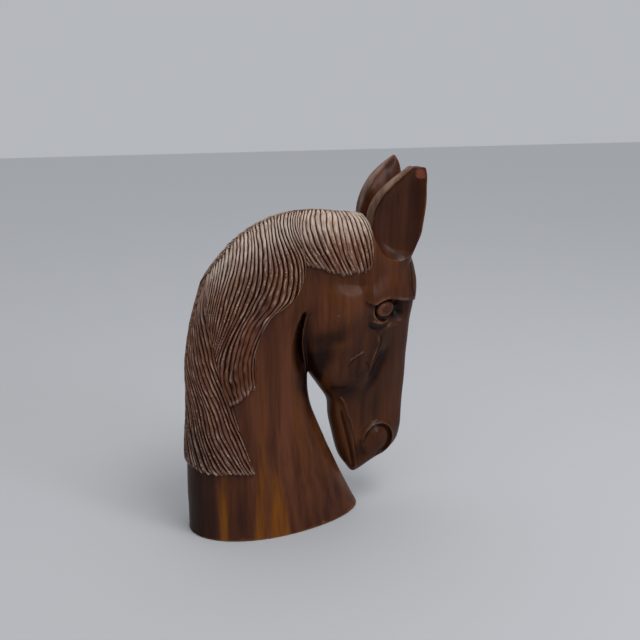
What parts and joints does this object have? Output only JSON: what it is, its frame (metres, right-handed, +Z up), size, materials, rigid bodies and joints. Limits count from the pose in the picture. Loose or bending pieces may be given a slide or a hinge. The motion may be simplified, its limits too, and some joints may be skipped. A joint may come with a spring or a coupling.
{
  "type": "horse head sculpture",
  "caption": "Freestanding carved wooden horse head with an arched neck cut flat below, tucked chin, upright ears and a combed, layered mane.",
  "frame": {"origin": "centre of the flat foot, on its underside", "axes": "+X the way the horse faces, +Y to the horse's left, +Z up"},
  "size_m": [0.3441, 0.1316, 0.507],
  "materials": {
    "carved_wood": "satin"
  },
  "bodies": {
    "root": {"horse_head": "carved_wood"}
  },
  "joints": []
}
